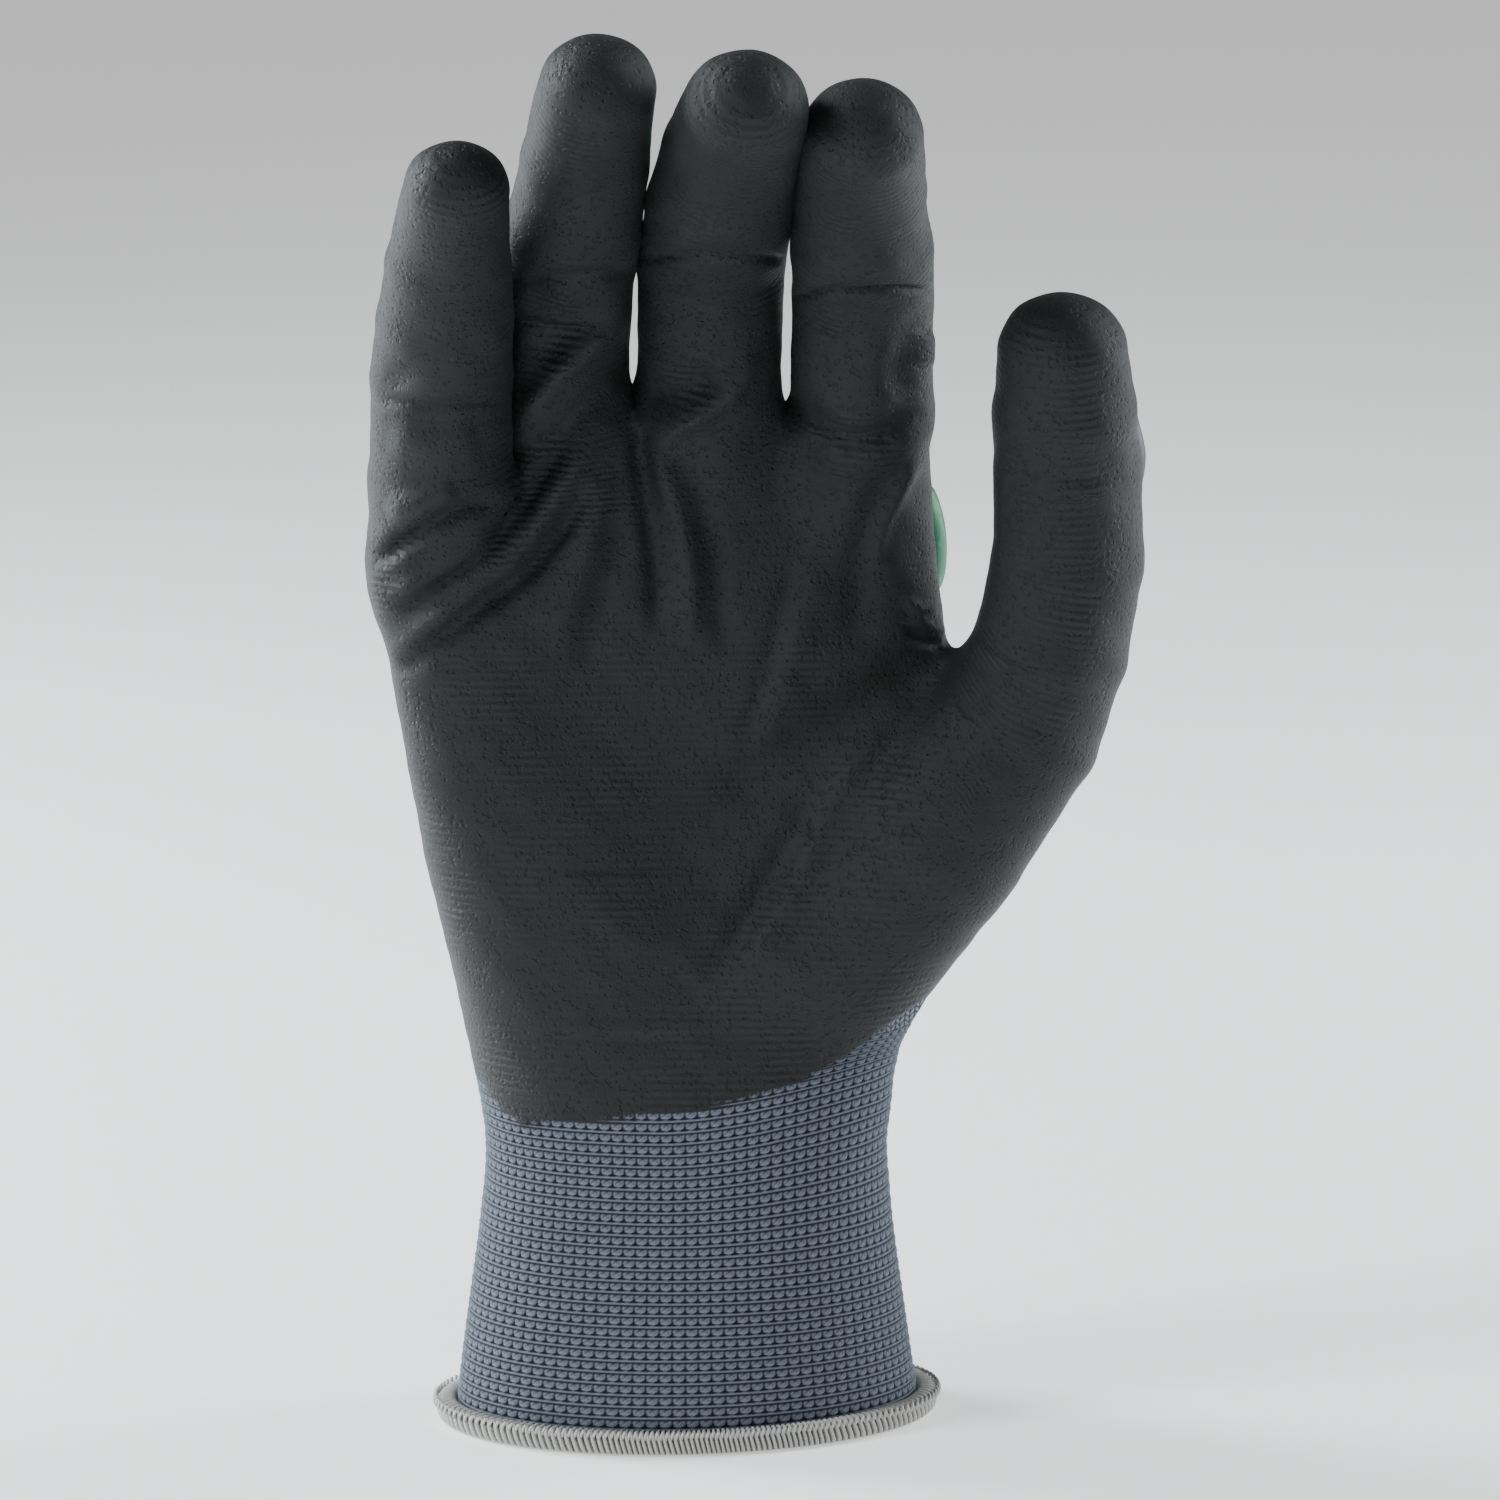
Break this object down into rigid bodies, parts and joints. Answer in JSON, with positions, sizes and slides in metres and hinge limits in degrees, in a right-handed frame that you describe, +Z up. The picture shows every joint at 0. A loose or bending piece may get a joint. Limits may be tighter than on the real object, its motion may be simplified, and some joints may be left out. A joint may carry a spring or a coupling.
{
  "type": "cut resistant glove",
  "caption": "Right-hand knitted work glove with a dipped foam palm, overlocked elastic cuff and moulded impact pads on the back, held in a relaxed curl.",
  "frame": {"origin": "middle of the hem's lower face, on the surface that the glove stands on", "axes": "+Z up towards the fingertips, -Y out of the palm, +X towards the thumb"},
  "size_m": [0.1238, 0.0875, 0.2343],
  "materials": {
    "knit_liner": "seamless knit, matte",
    "foam_coating": "micro-foam nitrile, matte, finely pored",
    "overlock_thread": "overlocked thread",
    "guard_black": "moulded thermoplastic rubber, satin",
    "guard_green": "moulded thermoplastic rubber, satin"
  },
  "bodies": {
    "cuff": {"cuff_hem": "overlock_thread", "liner_cuff": "knit_liner"},
    "palm": {"coating_palm": "foam_coating", "hand_rib_index": "guard_black", "hand_rib_middle": "guard_black", "hand_rib_pinky": "guard_black", "hand_rib_ring": "guard_black", "knuckle_pad_index": "guard_green", "knuckle_pad_middle": "guard_green", "knuckle_pad_pinky": "guard_green", "knuckle_pad_ring": "guard_green", "knuckle_plate": "guard_black", "liner_palm": "knit_liner"},
    "index_proximal": {"coating_index_proximal": "foam_coating", "guard_index_proximal": "guard_black", "liner_index_proximal": "knit_liner"},
    "index_middle": {"coating_index_middle": "foam_coating", "guard_index_middle": "guard_green", "liner_index_middle": "knit_liner"},
    "index_distal": {"coating_index_distal": "foam_coating", "liner_index_distal": "knit_liner"},
    "middle_proximal": {"coating_middle_proximal": "foam_coating", "guard_middle_proximal": "guard_black", "liner_middle_proximal": "knit_liner"},
    "middle_middle": {"coating_middle_middle": "foam_coating", "guard_middle_middle": "guard_green", "liner_middle_middle": "knit_liner"},
    "middle_distal": {"coating_middle_distal": "foam_coating", "liner_middle_distal": "knit_liner"},
    "ring_proximal": {"coating_ring_proximal": "foam_coating", "guard_ring_proximal": "guard_black", "liner_ring_proximal": "knit_liner"},
    "ring_middle": {"coating_ring_middle": "foam_coating", "guard_ring_middle": "guard_green", "liner_ring_middle": "knit_liner"},
    "ring_distal": {"coating_ring_distal": "foam_coating", "liner_ring_distal": "knit_liner"},
    "pinky_proximal": {"coating_pinky_proximal": "foam_coating", "guard_pinky_proximal": "guard_black", "liner_pinky_proximal": "knit_liner"},
    "pinky_middle": {"coating_pinky_middle": "foam_coating", "guard_pinky_middle": "guard_green", "liner_pinky_middle": "knit_liner"},
    "pinky_distal": {"coating_pinky_distal": "foam_coating", "liner_pinky_distal": "knit_liner"},
    "thumb_base": {"coating_thumb_base": "foam_coating", "liner_thumb_base": "knit_liner"},
    "thumb_proximal": {"coating_thumb_proximal": "foam_coating", "guard_thumb_proximal": "guard_black", "liner_thumb_proximal": "knit_liner"},
    "thumb_distal": {"coating_thumb_distal": "foam_coating", "guard_thumb_distal": "guard_green", "liner_thumb_distal": "knit_liner"}
  },
  "joints": [
    {"name": "wrist_flex", "type": "hinge", "parent": "cuff", "child": "palm", "pos_m": [0, 0, 0.046], "axis": [1, 0, 0], "range_deg": [-20, 20], "stiffness_Nm_per_rad": 1.2},
    {"name": "index_knuckle", "type": "hinge", "parent": "palm", "child": "index_proximal", "pos_m": [0.0272, -0.002, 0.15], "axis": [0.9981, 0.061, -0.0087], "range_deg": [-26, 45], "stiffness_Nm_per_rad": 0.08},
    {"name": "index_middle_joint", "type": "hinge", "parent": "index_proximal", "child": "index_middle", "pos_m": [0.02834, -0.01495, 0.18994], "axis": [0.9981, 0.061, -0.0087], "range_deg": [-27, 50], "stiffness_Nm_per_rad": 0.05},
    {"name": "index_end_joint", "type": "hinge", "parent": "index_middle", "child": "index_distal", "pos_m": [0.02949, -0.03099, 0.20908], "axis": [0.9981, 0.061, -0.0087], "range_deg": [-14.85, 27.5]},
    {"name": "middle_knuckle", "type": "hinge", "parent": "palm", "child": "middle_proximal", "pos_m": [0.0042, 0, 0.153], "axis": [0.996, 0.0871, -0.0174], "range_deg": [-26, 45], "stiffness_Nm_per_rad": 0.08},
    {"name": "middle_middle_joint", "type": "hinge", "parent": "middle_proximal", "child": "middle_middle", "pos_m": [0.0061, -0.01311, 0.19601], "axis": [0.996, 0.0871, -0.0174], "range_deg": [-27, 50], "stiffness_Nm_per_rad": 0.05},
    {"name": "middle_end_joint", "type": "hinge", "parent": "middle_middle", "child": "middle_distal", "pos_m": [0.00829, -0.03424, 0.21575], "axis": [0.996, 0.0871, -0.0174], "range_deg": [-14.85, 27.5]},
    {"name": "ring_knuckle", "type": "hinge", "parent": "palm", "child": "ring_proximal", "pos_m": [-0.0183, -0.001, 0.15], "axis": [0.9944, 0.1045, 0.0174], "range_deg": [-26, 45], "stiffness_Nm_per_rad": 0.08},
    {"name": "ring_middle_joint", "type": "hinge", "parent": "ring_proximal", "child": "ring_middle", "pos_m": [-0.01795, -0.01111, 0.19076], "axis": [0.9944, 0.1045, 0.0174], "range_deg": [-27, 50], "stiffness_Nm_per_rad": 0.05},
    {"name": "ring_end_joint", "type": "hinge", "parent": "ring_middle", "child": "ring_distal", "pos_m": [-0.01667, -0.02708, 0.21373], "axis": [0.9944, 0.1045, 0.0174], "range_deg": [-14.85, 27.5]},
    {"name": "pinky_knuckle", "type": "hinge", "parent": "palm", "child": "pinky_proximal", "pos_m": [-0.0402, -0.006, 0.143], "axis": [0.9922, 0.1218, 0.026], "range_deg": [-26, 45], "stiffness_Nm_per_rad": 0.08},
    {"name": "pinky_middle_joint", "type": "hinge", "parent": "pinky_proximal", "child": "pinky_middle", "pos_m": [-0.03974, -0.01704, 0.17726], "axis": [0.9922, 0.1218, 0.026], "range_deg": [-27, 50], "stiffness_Nm_per_rad": 0.05},
    {"name": "pinky_end_joint", "type": "hinge", "parent": "pinky_middle", "child": "pinky_distal", "pos_m": [-0.03886, -0.02846, 0.19721], "axis": [0.9922, 0.1218, 0.026], "range_deg": [-14.85, 27.5]},
    {"name": "thumb_swing", "type": "hinge", "parent": "palm", "child": "thumb_base", "pos_m": [0.034, -0.005, 0.102], "axis": [0, 0, 1], "range_deg": [-25, 12], "stiffness_Nm_per_rad": 0.12},
    {"name": "thumb_middle_joint", "type": "hinge", "parent": "thumb_base", "child": "thumb_proximal", "pos_m": [0.0593, -0.014, 0.1325], "axis": [0.9458, -0.2987, -0.1273], "range_deg": [-8, 18], "stiffness_Nm_per_rad": 0.08},
    {"name": "thumb_end_joint", "type": "hinge", "parent": "thumb_proximal", "child": "thumb_distal", "pos_m": [0.0616, -0.0195, 0.1625], "axis": [0.9528, -0.3009, -0.0404], "range_deg": [-8, 45], "stiffness_Nm_per_rad": 0.05}
  ],
  "couplings": [
    {"joint": "index_end_joint", "follows": "index_middle_joint", "ratio": 0.55},
    {"joint": "middle_end_joint", "follows": "middle_middle_joint", "ratio": 0.55},
    {"joint": "ring_end_joint", "follows": "ring_middle_joint", "ratio": 0.55},
    {"joint": "pinky_end_joint", "follows": "pinky_middle_joint", "ratio": 0.55}
  ]
}
